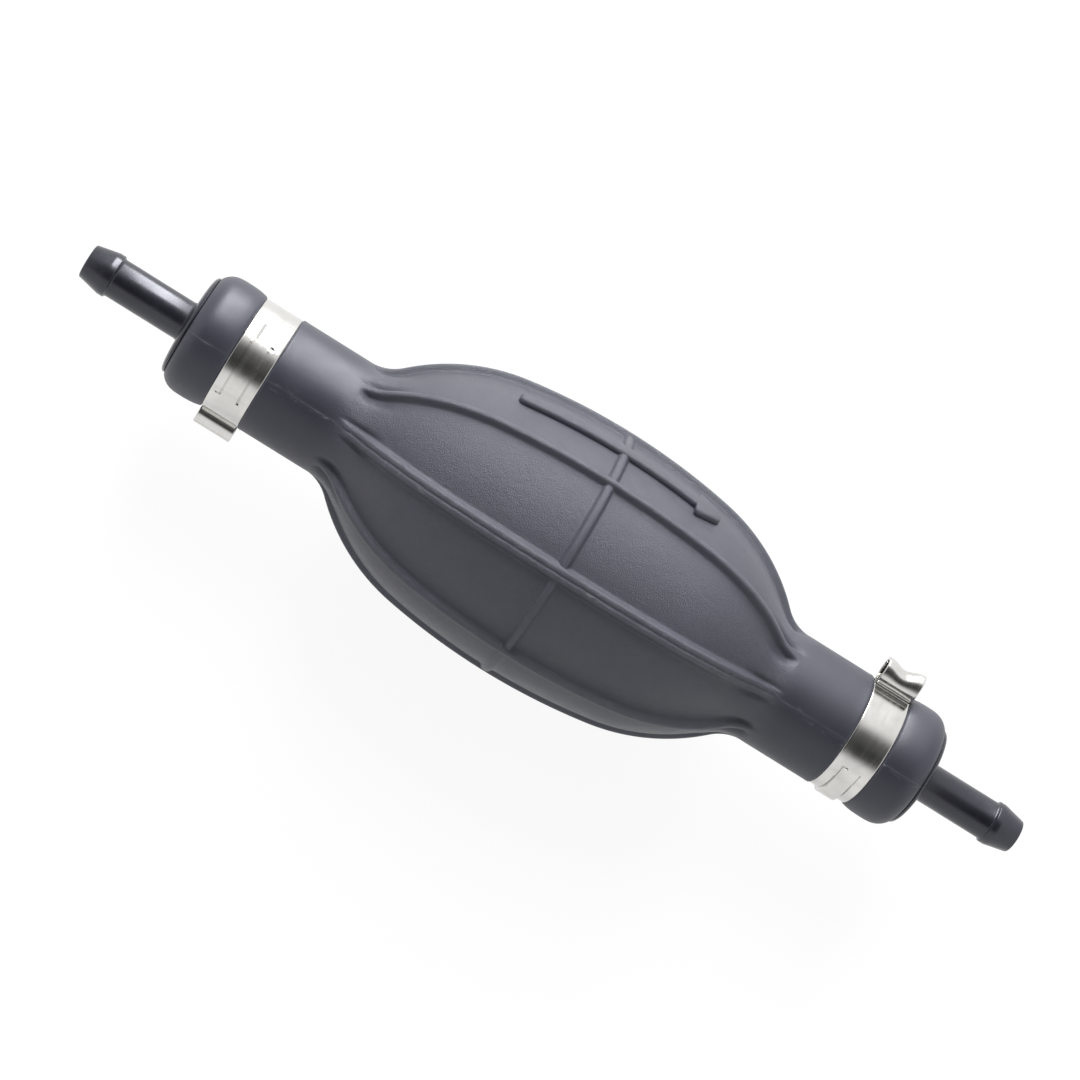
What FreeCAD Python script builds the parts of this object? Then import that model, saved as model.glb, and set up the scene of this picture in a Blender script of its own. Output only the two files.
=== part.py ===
import FreeCAD, Part
import math
import os

# Siphon bulb pump for 8 mm fuel hose, in millimetres.
# X runs along the pump in the direction of flow: the inlet hose end is at -X, the outlet hose end at +X.
# The origin is the centre of the bulb, and Z is up when the pump lies on two of its ribs.

# Driving dimensions: whole pump
TIP_X = 95.0
FLANGE_FACE_X = 74.9
LIP_END_X = 74.0

# Driving dimensions: moulded rubber bulb, measured over the ribs
CREST_R = 24.5
CROWN_ARC_R = 121.6
SHOULDER_ARC_R = 36.5
NECK_FILLET_R = 8.0
NECK_START_X = 45.1
NECK_R = 10.9
RIB_COUNT = 8
RIB_HEIGHT = 1.25
RIB_WIDTH = 1.9
RIB_DIP = 0.15
CROWN_STEPS = 2
SHOULDER_STEPS = 5
FILLET_STEPS = 3
PANEL_SIDES = 40
PARTING_ANGLE = 112.5
PARTING_RIB_WIDTH = 3.0
PARTING_GROOVE_WIDTH = 0.8
PARTING_GROOVE_DEPTH = 0.4
RING_R = 24.05
RING_WIDTH = 2.0
WALL = 2.8
CORE_R = 20.3
CORE_CROWN_X = 12.0
CORE_SHOULDER_X = 29.0
CORE_SHOULDER_R = 16.2
CORE_NECK_X = 41.5
CORE_SIDES = 24
NECK_BORE_R = 7.0
SOCKET_START_X = 57.0
LIP_R = 11.3
LIP_SWELL_X = 67.4
LIP_ROUND_X = 72.0
LIP_END_R = 9.5

# Driving dimensions: raised flow arrow
ARROW_ANGLE = 45.0
ARROW_TAIL_X = -20.5
ARROW_HEAD_X = 14.6
ARROW_TIP_X = 19.6
ARROW_SHAFT_HALF = 1.4
ARROW_HEAD_HALF = 3.1
ARROW_HEIGHT = 1.1

# Driving dimensions: barb fittings
FLANGE_R = 8.7
PLUG_R = 8.0
PLUG_BORE_R = 6.6
PLUG_MOUTH_X = 57.2
SHOULDER_X = 73.7
TUBE_R = 3.6
TUBE_BORE_R = 2.4
BARB_R = 4.0
BARB_BACK_X = 89.6
BARB_LAND = 1.4
BARB_TIP_R = 3.0

# Driving dimensions: ear clamps
BAND_X = 62.1
BAND_WIDTH = 7.2
BAND_INNER_R = 10.15
STRIP = 0.6
EAR_HALF = 2.1
EAR_TOP_R = 14.95
EAR_PINCH_HALF = 1.2
EAR_DIMPLE = 0.75
EAR_LIFT = 0.3
EAR_SIDES = 16
EAR_FOOT_R = 0.9
EAR_FOOT_RISE = 0.8
EAR_SLOT_RISE = 1.2
SLIT_OFFSET = 1.6
SLIT_WIDTH = 0.3
SLIT_DEPTH = 0.35
SLIT_TICK = 1.2

# Driving dimensions: check valve cartridge, along the flow from the seat's upstream face
CARTRIDGE_LENGTH = 13.3
SEAT_LENGTH = 2.6
SEAT_BORE_R = 3.0
SEAL_R = 4.6
SEAL_THICK = 0.9
SEAL_GAP = 0.1
DISC_R = 4.8
DISC_THICK = 1.0
SEAL_BOSS_R = 2.0
SEAL_HEAD_R = 2.5
SEAL_HEAD_THICK = 0.6
STEM_R = 1.1
STEM_END = 11.6
GUIDE_CLEARANCE = 0.08
LEG_INNER_R = 5.1
LEG_OUTER_R = 6.5
SPIDER_START = 8.8
SPIDER_END = 12.0
HUB_R = 2.7
ARM_COUNT = 4
ARM_WIDTH = 1.2
SPRING_R = 2.15
SPRING_WIRE_R = 0.22
SPRING_TURNS = 4
SPRING_STEPS = 10
WIRE_SIDES = 6
SPRING_END_GAP = 0.05

X_AXIS = FreeCAD.Vector(1, 0, 0)
CENTRE = FreeCAD.Vector(0, 0, 0)


# Helpers for outlines drawn in the XZ plane, as a distance along the pump and a radius
def at(x, r):
    return FreeCAD.Vector(x, 0, r)


def line(start, end):
    return Part.LineSegment(start, end).toShape()


def arc(start, middle, end):
    return Part.Arc(start, middle, end).toShape()


def polyline(points):
    return [line(a, b) for a, b in zip(points, points[1:])]


def revolved(edges):
    face = Part.Face(Part.Wire(edges))
    return face.revolve(CENTRE, X_AXIS, 360)


def ring(inner_r, outer_r, start, end):
    corners = [at(start, inner_r), at(start, outer_r), at(end, outer_r), at(end, inner_r)]
    return revolved(polyline(corners + corners[:1]))


def turned(shape, angle):
    copy = shape.copy()
    copy.rotate(CENTRE, X_AXIS, angle)
    return copy


def mirrored_ends(shape):
    return shape.mirror(CENTRE, X_AXIS)


# The bulb's outline is three tangent arcs: crown, shoulder and the fillet into the neck.
# Every other surface of the bulb follows the same arcs at its own offset.
def outline_centres():
    crown = at(0, CREST_R - CROWN_ARC_R)
    fillet = at(NECK_START_X, NECK_R + NECK_FILLET_R)
    span = fillet.sub(crown)
    from_crown = CROWN_ARC_R - SHOULDER_ARC_R
    from_fillet = SHOULDER_ARC_R + NECK_FILLET_R
    along = (from_crown**2 - from_fillet**2 + span.Length**2) / (2 * span.Length)
    across = math.sqrt(from_crown**2 - along**2)
    way = FreeCAD.Vector(span).normalize()
    outward = at(-way.z, way.x)
    shoulder = crown + way * along + outward * across
    return crown, shoulder, fillet


def on_circle(centre, towards, radius):
    return centre + towards.sub(centre).normalize() * radius


def bulb_outline(offset):
    crown, shoulder, fillet = outline_centres()
    top = at(0, CREST_R + offset)
    crown_end = on_circle(crown, shoulder, CROWN_ARC_R + offset)
    fillet_start = on_circle(shoulder, fillet, SHOULDER_ARC_R + offset)
    neck = at(NECK_START_X, NECK_R + offset)
    shoulder_middle = on_circle(shoulder, (crown_end + fillet_start) * 0.5, SHOULDER_ARC_R + offset)
    fillet_middle = on_circle(fillet, (fillet_start + neck) * 0.5, NECK_FILLET_R - offset)
    half = [
        arc(crown_end, shoulder_middle, fillet_start),
        arc(fillet_start, fillet_middle, neck),
    ]
    crown_arc = arc(mirror_point(crown_end), top, crown_end)
    other_half = [edge.mirror(CENTRE, X_AXIS) for edge in half]
    return [crown_arc] + half + other_half


def mirror_point(point):
    return FreeCAD.Vector(-point.x, point.y, point.z)


def under_outline(offset, floor_r):
    end_r = NECK_R + offset
    x = NECK_START_X
    sides = [line(at(x, end_r), at(x, floor_r)), line(at(-x, floor_r), at(-x, end_r))]
    edges = bulb_outline(offset) + sides + [line(at(x, floor_r), at(-x, floor_r))]
    return Part.Wire(Part.__sortEdges__(edges))


# Bands cut from the same outline make the ribs, the groove of a parting rib and the arrow's top
def band_under(offset, floor_r, width):
    face = Part.Face(under_outline(offset, floor_r))
    band = face.extrude(FreeCAD.Vector(0, width, 0))
    band.translate(FreeCAD.Vector(0, -width / 2, 0))
    return band


def rib(width):
    return band_under(-RIB_DIP, NECK_R - WALL, width)


def parting_rib():
    above = band_under(RIB_HEIGHT, NECK_R, PARTING_GROOVE_WIDTH)
    below = band_under(-RIB_DIP - PARTING_GROOVE_DEPTH, NECK_R - RIB_HEIGHT, PARTING_GROOVE_WIDTH)
    return rib(PARTING_RIB_WIDTH).cut(above.cut(below))


def flow_arrow():
    outline = [
        (ARROW_TAIL_X, -ARROW_SHAFT_HALF),
        (ARROW_HEAD_X, -ARROW_SHAFT_HALF),
        (ARROW_HEAD_X, -ARROW_HEAD_HALF),
        (ARROW_TIP_X, 0),
        (ARROW_HEAD_X, ARROW_HEAD_HALF),
        (ARROW_HEAD_X, ARROW_SHAFT_HALF),
        (ARROW_TAIL_X, ARROW_SHAFT_HALF),
    ]
    floor_r = CORE_R + WALL / 4
    points = [FreeCAD.Vector(x, y, floor_r) for x, y in outline]
    prism = Part.Face(Part.makePolygon(points + points[:1])).extrude(FreeCAD.Vector(0, 0, CREST_R))
    raised_to = band_under(ARROW_HEIGHT - RIB_HEIGHT, 0, 3 * ARROW_HEAD_HALF)
    return turned(prism.common(raised_to), ARROW_ANGLE - 90)


# A body of flat faces through many-sided sections, one section for each point of an outline
def ruled_body(points, sides):
    turns = [2 * math.pi * i / sides for i in range(sides + 1)]
    sections = []
    for p in points:
        sections.append([FreeCAD.Vector(p.x, p.z * math.cos(t), p.z * math.sin(t)) for t in turns])
    faces = [Part.Face(Part.makePolygon(sections[0])), Part.Face(Part.makePolygon(sections[-1]))]
    for near, far in zip(sections, sections[1:]):
        for i in range(sides):
            corners = [near[i], near[i + 1], far[i + 1], far[i], near[i]]
            faces.append(Part.Face(Part.makePolygon(corners)))
    shell = Part.Shell(faces)
    shell.sewShape()
    return Part.Solid(shell)


# The panels between the ribs, in straight steps along the outline
def panels():
    crown, shoulder, fillet = bulb_outline(-RIB_HEIGHT)[:3]
    half = crown.discretize(2 * CROWN_STEPS + 1)[CROWN_STEPS:]
    half += shoulder.discretize(SHOULDER_STEPS + 1)[1:] + fillet.discretize(FILLET_STEPS + 1)[1:]
    other_half = [mirror_point(p) for p in reversed(half[1:])]
    return ruled_body(other_half + half, PANEL_SIDES)


# Neck and lip outside the bulb: the clamp seat is pressed in by the band, and the lip swells past it
def neck_and_lip():
    band_start = BAND_X - BAND_WIDTH / 2
    band_end = BAND_X + BAND_WIDTH / 2
    start_x = NECK_START_X - NECK_FILLET_R
    points = [
        at(start_x, 0),
        at(start_x, NECK_R),
        at(band_start, NECK_R),
        at(band_start, BAND_INNER_R),
        at(band_end, BAND_INNER_R),
        at(band_end, NECK_R),
        at(LIP_SWELL_X, LIP_R),
        at(LIP_ROUND_X, LIP_R),
        at(LIP_END_X, LIP_END_R),
        at(LIP_END_X, 0),
    ]
    return revolved(polyline(points + points[:1]))


def chamber():
    core = [
        at(CORE_CROWN_X, CORE_R),
        at(CORE_SHOULDER_X, CORE_SHOULDER_R),
        at(CORE_NECK_X, NECK_BORE_R),
        at(SOCKET_START_X, NECK_BORE_R),
    ]
    other_half = [mirror_point(p) for p in reversed(core)]
    return ruled_body(other_half + core, CORE_SIDES)


def rubber_bulb(sockets):
    ends = neck_and_lip()
    ring_rib = Part.makeCylinder(RING_R, RING_WIDTH, at(-RING_WIDTH / 2, 0), X_AXIS)
    body = panels().fuse([ends, mirrored_ends(ends), ring_rib])
    pitch = 360 / RIB_COUNT
    for i in range(RIB_COUNT):
        on_parting = i % (RIB_COUNT // 2) == 0
        one = parting_rib() if on_parting else rib(RIB_WIDTH)
        body = body.fuse(turned(one, PARTING_ANGLE - 90 + i * pitch))
    body = body.fuse(flow_arrow())
    return body.cut([chamber()] + sockets)


# One moulded piece at each end: flange, hollow plug for the neck, hose tube and barb
def barb_fitting():
    points = [
        at(PLUG_MOUTH_X, PLUG_R),
        at(LIP_END_X, PLUG_R),
        at(LIP_END_X, FLANGE_R),
        at(FLANGE_FACE_X, FLANGE_R),
        at(FLANGE_FACE_X, TUBE_R),
        at(BARB_BACK_X, TUBE_R),
        at(BARB_BACK_X, BARB_R),
        at(BARB_BACK_X + BARB_LAND, BARB_R),
        at(TIP_X, BARB_TIP_R),
        at(TIP_X, TUBE_BORE_R),
        at(SHOULDER_X, TUBE_BORE_R),
        at(SHOULDER_X, PLUG_BORE_R),
        at(PLUG_MOUTH_X, PLUG_BORE_R),
    ]
    return revolved(polyline(points + points[:1]))


def socket():
    return Part.makeCylinder(PLUG_R, LIP_END_X - PLUG_MOUTH_X, at(PLUG_MOUTH_X, 0), X_AXIS)


# Stepless ear clamp: a strip round the neck with an Omega-shaped ear that is crimped shut
def ear_section(x, drop, inset):
    bottom_r = BAND_INNER_R + STRIP + EAR_LIFT + inset
    top_r = EAR_TOP_R - drop - inset
    middle = (top_r + bottom_r) / 2
    high = (top_r - bottom_r) / 2
    wide = EAR_HALF - inset
    turns = [2 * math.pi * i / EAR_SIDES for i in range(EAR_SIDES + 1)]
    points = [FreeCAD.Vector(x, wide * math.cos(t), middle + high * math.sin(t)) for t in turns]
    return Part.makePolygon(points)


def ear_loop(inset, overrun):
    half = BAND_WIDTH / 2 + overrun
    sections = [ear_section(-half, 0, inset), ear_section(0, EAR_DIMPLE, inset), ear_section(half, 0, inset)]
    return Part.makeLoft(sections, True, True)


def ear_foot():
    low = BAND_INNER_R + STRIP / 2
    shoulder = BAND_INNER_R + STRIP + EAR_FOOT_R
    high = shoulder + EAR_FOOT_RISE
    wide = EAR_PINCH_HALF + EAR_FOOT_R
    bend = EAR_FOOT_R * (1 - math.sqrt(0.5))

    def point(y, r):
        return FreeCAD.Vector(-BAND_WIDTH / 2, y, r)

    edges = [
        line(point(-wide, low), point(wide, low)),
        line(point(wide, low), point(wide, shoulder - EAR_FOOT_R)),
        arc(point(wide, shoulder - EAR_FOOT_R), point(EAR_PINCH_HALF + bend, shoulder - EAR_FOOT_R + bend),
            point(EAR_PINCH_HALF, shoulder)),
        line(point(EAR_PINCH_HALF, shoulder), point(EAR_PINCH_HALF, high)),
        line(point(EAR_PINCH_HALF, high), point(-EAR_PINCH_HALF, high)),
        line(point(-EAR_PINCH_HALF, high), point(-EAR_PINCH_HALF, shoulder)),
        arc(point(-EAR_PINCH_HALF, shoulder), point(-EAR_PINCH_HALF - bend, shoulder - EAR_FOOT_R + bend),
            point(-wide, shoulder - EAR_FOOT_R)),
        line(point(-wide, shoulder - EAR_FOOT_R), point(-wide, low)),
    ]
    return Part.Face(Part.Wire(edges)).extrude(X_AXIS * BAND_WIDTH)


def ring_sector(inner_r, outer_r, start_x, end_x, from_angle, to_angle):
    corners = [at(start_x, inner_r), at(start_x, outer_r), at(end_x, outer_r), at(end_x, inner_r)]
    face = Part.Face(Part.Wire(polyline(corners + corners[:1])))
    sector = face.revolve(CENTRE, X_AXIS, to_angle - from_angle)
    return turned(sector, from_angle - 90)


def ear_clamp(ear_angle, overlap, slit, tick_angle, tick_way):
    half = BAND_WIDTH / 2
    outer_r = BAND_INNER_R + STRIP
    band = ring(BAND_INNER_R, outer_r, -half, half)
    overlap_layer = ring_sector(outer_r - STRIP / 2, outer_r + STRIP, -half, half, *overlap)
    slot_half = EAR_PINCH_HALF - STRIP
    slot = Part.makeBox(BAND_WIDTH * 2, 2 * slot_half, EAR_FOOT_R + EAR_SLOT_RISE,
                        FreeCAD.Vector(-BAND_WIDTH, -slot_half, outer_r))
    ear = ear_foot().fuse(ear_loop(0, 0)).cut([ear_loop(STRIP, STRIP), slot])
    clamp = band.fuse([overlap_layer, turned(ear, ear_angle - 90)])
    slit_floor = outer_r - SLIT_DEPTH
    tick_half = math.degrees(SLIT_WIDTH / outer_r) / 2
    cuts = []
    for side in (-1, 1):
        middle = side * SLIT_OFFSET
        tick_x = sorted([middle, middle + side * tick_way * SLIT_TICK])
        line_x = [middle - SLIT_WIDTH / 2, middle + SLIT_WIDTH / 2]
        tick_turn = [tick_angle - tick_half, tick_angle + tick_half]
        cuts.append(ring_sector(slit_floor, outer_r + STRIP, *line_x, *slit))
        cuts.append(ring_sector(slit_floor, outer_r + STRIP, *tick_x, *tick_turn))
    return clamp.cut(cuts).removeSplitter()


# Check valve cartridge, the same at both ends and facing the same way along the flow
def valve_seat():
    return ring(SEAT_BORE_R, PLUG_BORE_R, 0, SEAT_LENGTH)


# The cage's legs run back to the seat round the poppet's disc, and forward to the plug's end
def valve_cage():
    hub_length = SPIDER_END - SPIDER_START
    leg_length = CARTRIDGE_LENGTH - SEAT_LENGTH
    cage = Part.makeCylinder(HUB_R, hub_length, at(SPIDER_START, 0), X_AXIS)
    arm_corner = FreeCAD.Vector(SPIDER_START, -ARM_WIDTH / 2, 0)
    arm = Part.makeBox(hub_length, ARM_WIDTH, LEG_OUTER_R, arm_corner)
    leg_corner = FreeCAD.Vector(SEAT_LENGTH, -ARM_WIDTH / 2, LEG_INNER_R)
    leg = Part.makeBox(leg_length, ARM_WIDTH, LEG_OUTER_R - LEG_INNER_R, leg_corner)
    limb = arm.fuse(leg)
    for i in range(ARM_COUNT):
        cage = cage.fuse(turned(limb, i * 360 / ARM_COUNT))
    guide = Part.makeCylinder(STEM_R + GUIDE_CLEARANCE, CARTRIDGE_LENGTH, at(0, 0), X_AXIS)
    return cage.cut(guide).removeSplitter()


def disc_start():
    return SEAT_LENGTH + SEAL_GAP + SEAL_THICK


def valve_poppet():
    face = disc_start()
    back = face + DISC_THICK
    seal_start = face - SEAL_THICK
    head_start = seal_start - SEAL_HEAD_THICK
    points = [
        at(head_start, 0),
        at(head_start, SEAL_HEAD_R),
        at(seal_start, SEAL_HEAD_R),
        at(seal_start, SEAL_BOSS_R),
        at(face, SEAL_BOSS_R),
        at(face, DISC_R),
        at(back, DISC_R),
        at(back, STEM_R),
        at(STEM_END, STEM_R),
        at(STEM_END, 0),
    ]
    return revolved(polyline(points + points[:1]))


def poppet_seal():
    end = disc_start()
    return ring(SEAL_BOSS_R, SEAL_R, end - SEAL_THICK, end)


# The spring's wire follows its helix in short straight steps
def valve_spring():
    start = disc_start() + DISC_THICK + SPRING_END_GAP + SPRING_WIRE_R
    length = SPIDER_START - SPRING_END_GAP - SPRING_WIRE_R - start
    steps = SPRING_TURNS * SPRING_STEPS
    path = []
    for i in range(steps + 1):
        turn = 2 * math.pi * i / SPRING_STEPS
        x = start + length * i / steps
        path.append(FreeCAD.Vector(x, SPRING_R * math.cos(turn), SPRING_R * math.sin(turn)))
    wire = []
    for i in range(WIRE_SIDES + 1):
        turn = 2 * math.pi * i / WIRE_SIDES
        wire.append(path[0] + FreeCAD.Vector(math.cos(turn), math.sin(turn), 0) * SPRING_WIRE_R)
    return Part.makePolygon(path).makePipeShell([Part.makePolygon(wire)], True, True, 1)


# Where each clamp's ear, overlap and slits lie round its neck, in degrees from +Y
INLET_CLAMP = {"ear_angle": 220, "overlap": (-45, 45), "slit": (80, 165), "tick_angle": 165, "tick_way": 1}
OUTLET_CLAMP = {"ear_angle": 33, "overlap": (190, 305), "slit": (137, 188), "tick_angle": 137, "tick_way": -1}


def main():
    os.makedirs("parts", exist_ok=True)
    bore = socket()
    fitting = barb_fitting()
    nodes = {
        "rubber_bulb": rubber_bulb([bore, mirrored_ends(bore)]),
        "inlet_barb_fitting": mirrored_ends(fitting),
        "outlet_barb_fitting": fitting,
        "inlet_ear_clamp": ear_clamp(**INLET_CLAMP),
        "outlet_ear_clamp": ear_clamp(**OUTLET_CLAMP),
    }
    nodes["inlet_ear_clamp"].translate(X_AXIS * -BAND_X)
    nodes["outlet_ear_clamp"].translate(X_AXIS * BAND_X)
    starts = {"inlet": -SHOULDER_X, "outlet": SHOULDER_X - CARTRIDGE_LENGTH}
    makers = {
        "valve_seat": valve_seat,
        "valve_cage": valve_cage,
        "valve_poppet": valve_poppet,
        "poppet_seal": poppet_seal,
        "valve_spring": valve_spring,
    }
    for end, start in starts.items():
        for name, make in makers.items():
            piece = make()
            piece.translate(X_AXIS * start)
            nodes[end + "_" + name] = piece
    for name, shape in nodes.items():
        print(name, shape.isValid(), len(shape.Solids), round(shape.Volume, 1))
        shape.exportStep("parts/" + name + ".step")


main()
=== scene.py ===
import math

import bmesh
import bpy
from mathutils import Matrix, Vector


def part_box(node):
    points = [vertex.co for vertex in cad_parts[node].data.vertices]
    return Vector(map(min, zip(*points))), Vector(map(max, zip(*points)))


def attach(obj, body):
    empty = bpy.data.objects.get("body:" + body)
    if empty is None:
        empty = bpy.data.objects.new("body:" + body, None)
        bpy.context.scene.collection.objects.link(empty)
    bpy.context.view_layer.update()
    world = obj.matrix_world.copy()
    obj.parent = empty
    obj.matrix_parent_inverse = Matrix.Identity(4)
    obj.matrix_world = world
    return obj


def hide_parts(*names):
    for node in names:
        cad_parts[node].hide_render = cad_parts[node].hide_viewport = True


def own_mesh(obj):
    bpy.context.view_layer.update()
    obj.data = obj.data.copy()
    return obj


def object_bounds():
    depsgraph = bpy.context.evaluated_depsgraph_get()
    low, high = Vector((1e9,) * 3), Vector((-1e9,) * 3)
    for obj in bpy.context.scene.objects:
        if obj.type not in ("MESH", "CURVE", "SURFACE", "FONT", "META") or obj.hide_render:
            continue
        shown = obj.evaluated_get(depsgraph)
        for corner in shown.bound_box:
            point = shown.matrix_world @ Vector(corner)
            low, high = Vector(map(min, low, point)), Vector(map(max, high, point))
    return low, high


# The frame: a hand-squeezed siphon bulb pump, with the flow along +X from the inlet to the outlet.
# Sizes are in millimetres times mm, because the frame is in metres.
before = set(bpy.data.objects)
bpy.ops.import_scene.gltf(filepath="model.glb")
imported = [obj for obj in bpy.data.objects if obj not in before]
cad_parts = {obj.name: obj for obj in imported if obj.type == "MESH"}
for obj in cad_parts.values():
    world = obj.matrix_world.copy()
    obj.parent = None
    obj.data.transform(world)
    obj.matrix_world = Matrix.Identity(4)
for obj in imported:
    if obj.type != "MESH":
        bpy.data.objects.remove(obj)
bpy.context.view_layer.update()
mm = 0.001


# Rubber bulb: one hollow moulding of oil-proof rubber with both necks and lips.
# Eight ribs run from neck to neck and one ring crosses them at the middle, where a hand squeezes.
# Two ribs opposite each other are double, with a groove between, where the mould's halves met.
CREST_R = 24.5 * mm
CROWN_ARC_R = 121.6 * mm
SHOULDER_ARC_R = 36.5 * mm
NECK_FILLET_R = 8 * mm
NECK_START_X = 45.1 * mm
NECK_R = 10.9 * mm
PANEL_DEPTH = 1.25 * mm
RING_X = -0.28 * mm
RING_SHARE = 0.63
RIB_COUNT = 8
PARTING_ANGLE = 112.5
SECTOR = 360 / RIB_COUNT
# How high a rib stands at each distance in millimetres from its middle, plain or parting.
PLAIN_RIB = [(0, 1), (0.15, 0.995), (0.3, 0.97), (0.44, 0.92), (0.57, 0.83), (0.68, 0.71),
             (0.78, 0.56), (0.88, 0.4), (0.98, 0.25), (1.08, 0.13), (1.2, 0.05), (1.36, 0.01),
             (1.6, 0)]
PARTING_RIB = [(0, 0.87), (0.1, 0.89), (0.2, 0.95), (0.32, 0.99), (0.6, 1), (0.9, 0.96),
               (1.1, 0.86), (1.26, 0.68), (1.4, 0.46), (1.54, 0.24), (1.7, 0.08), (1.88, 0.015),
               (2.15, 0)]
# Where a panel's depth runs out towards the neck, in millimetres: start and end beside the rib,
# start and end at mid panel, and the distances from the rib between which one becomes the other.
CRISP_PANEL_END = ((42.3, 44.3), (36, 45.2), (1.5, 4.2))
SOFT_PANEL_END = ((41.2, 45.2), (35.8, 45.2), (1.1, 2.6))
# The mould seam on a parting rib: a thin flash, torn off unevenly, and the band of scuffs about it.
FLASH_RISE = 0.07 * mm
FLASH_TEAR = 0.03 * mm
FLASH_HALF = 0.2 * mm
SEAM_SHIFT = 0.022 * mm
SEAM_REACH = (0.2 * mm, 0.8 * mm)
SCUFFS_HALF = 0.9 * mm
LEAST_SPREAD_R = NECK_R * 0.7
PANEL_COLUMNS = 7
HALF_SECTOR_COLUMNS = len(PLAIN_RIB) - 1 + PANEL_COLUMNS
COLUMNS = RIB_COUNT * 2 * HALF_SECTOR_COLUMNS
BAND_X = 62.1 * mm
BAND_WIDTH = 7.2 * mm
BAND_INNER_R = 10.15 * mm
LIP_END_X = 74 * mm
PLUG_R = 8 * mm
PLUG_MOUTH_X = 57.2 * mm
NECK_BORE_R = 7 * mm


def smooth_step(value, start, end):
    t = min(max((value - start) / (end - start), 0), 1)
    return t * t * (3 - 2 * t)


def read_off(curve, distance):
    """The height on a curve of (distance, height) pairs, with straight runs between them."""
    for (near, high), (far, low) in zip(curve, curve[1:]):
        if distance <= far:
            return high + (low - high) * (distance - near) / (far - near)
    return curve[-1][1]


def outline_arcs():
    crown = Vector((0, CREST_R - CROWN_ARC_R))
    fillet = Vector((NECK_START_X, NECK_R + NECK_FILLET_R))
    span = fillet - crown
    from_crown = CROWN_ARC_R - SHOULDER_ARC_R
    from_fillet = SHOULDER_ARC_R + NECK_FILLET_R
    along = (from_crown**2 - from_fillet**2 + span.length_squared) / (2 * span.length)
    across = math.sqrt(from_crown**2 - along**2)
    way = span.normalized()
    shoulder = crown + way * along + Vector((-way.y, way.x)) * across
    return crown, shoulder, fillet


def bulb_outline(x):
    """The point over the ribs at this distance from the middle, and the way out there."""
    crown, shoulder, fillet = outline_arcs()
    crown_end = crown + (shoulder - crown).normalized() * CROWN_ARC_R
    fillet_start = shoulder + (fillet - shoulder).normalized() * SHOULDER_ARC_R
    distance = abs(x)
    if distance <= crown_end.x:
        centre, radius, side = crown, CROWN_ARC_R, 1
    elif distance <= fillet_start.x:
        centre, radius, side = shoulder, SHOULDER_ARC_R, 1
    elif distance < NECK_START_X:
        centre, radius, side = fillet, NECK_FILLET_R, -1
    else:
        return Vector((x, NECK_R)), Vector((0, 1))
    height = math.sqrt(radius**2 - (distance - centre.x) ** 2)
    point = Vector((distance, centre.y + side * height))
    flip = Vector((math.copysign(1, x), 1))
    return point * flip, (point - centre).normalized() * side * flip


def bulb_rows():
    """Half of the outside, from beside the ring to the lip's end: points with their ways out."""
    stops = [2.6 + 0.85 * i for i in range(38)] + [34.8 + 0.43 * i for i in range(24)]
    rows = [bulb_outline(x * mm) for x in stops if x * mm < NECK_START_X]
    up = Vector((0, 1))
    band_start = BAND_X - BAND_WIDTH / 2
    band_end = BAND_X + BAND_WIDTH / 2
    neck_end = band_start - 0.9 * mm
    for i in range(12):
        rows.append((Vector((NECK_START_X + i * (neck_end - NECK_START_X) / 11, NECK_R)), up))
    for back, rise in ((0.55, 0.03), (0.25, 0.02), (0.08, -0.08), (0.02, -0.3), (0, -0.75)):
        rows.append((Vector((band_start - back * mm, NECK_R + rise * mm)), up))
    rows.append((Vector((BAND_X, BAND_INNER_R)), up))
    for on, rise in ((0, -0.75), (0.02, -0.3), (0.1, -0.05), (0.3, 0.08), (0.7, 0.17), (1.3, 0.29)):
        rows.append((Vector((band_end + on * mm, NECK_R + rise * mm)), up))
    lip = [(67.8, 11.28), (68.8, 11.33), (69.8, 11.34), (70.6, 11.32), (71.2, 11.27), (71.7, 11.18)]
    lip += [(72.15, 11.05), (72.6, 10.85), (73, 10.6), (73.35, 10.32), (73.65, 10), (73.87, 9.7)]
    lip += [(73.97, 9.5), (74.0, 9.3)]
    return rows + [(Vector((x * mm, r * mm)), up) for x, r in lip]


def bulb_profile():
    """The wall's closed outline: outside from lip to lip, then back through the inside."""
    half = bulb_rows()
    flip = Vector((-1, 1))
    ring_steps = (0, 0.2, 0.38, 0.52, 0.64, 0.76, 0.88, 1.0, 1.12, 1.26, 1.45, 1.75)
    ring = [RING_X + side * step * mm for side in (-1, 1) for step in ring_steps]
    middle = [bulb_outline(x) for x in sorted(set(ring))]
    outside = [(p * flip, n * flip) for p, n in reversed(half)] + middle + half
    still = Vector((0, 0))
    inside = [(LIP_END_X, PLUG_R), (PLUG_MOUTH_X, PLUG_R)]
    inside += [(PLUG_MOUTH_X, NECK_BORE_R), (41.5 * mm, NECK_BORE_R)]
    inside += [(36 * mm, 12 * mm), (29 * mm, 16.2 * mm), (21 * mm, 18.8 * mm), (12 * mm, 20.3 * mm)]
    right = [(Vector(p), still) for p in inside]
    left = [(p * flip, still) for p, _ in reversed(right)]
    return outside, right + left


def column_offset(column, radius):
    """Columns keep their distance from the nearest rib, so the ribs stay as wide at the necks."""
    sector, place = divmod(column, 2 * HALF_SECTOR_COLUMNS)
    side = 1 if place >= HALF_SECTOR_COLUMNS else -1
    step = abs(place - HALF_SECTOR_COLUMNS)
    curve = PARTING_RIB if sector % (RIB_COUNT // 2) == 0 else PLAIN_RIB
    last = len(curve) - 1
    offset = curve[min(step, last)][0] * mm
    if step > last:
        offset += (math.radians(SECTOR / 2) * radius - offset) * (step - last) / PANEL_COLUMNS
    return sector, side, offset


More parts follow.
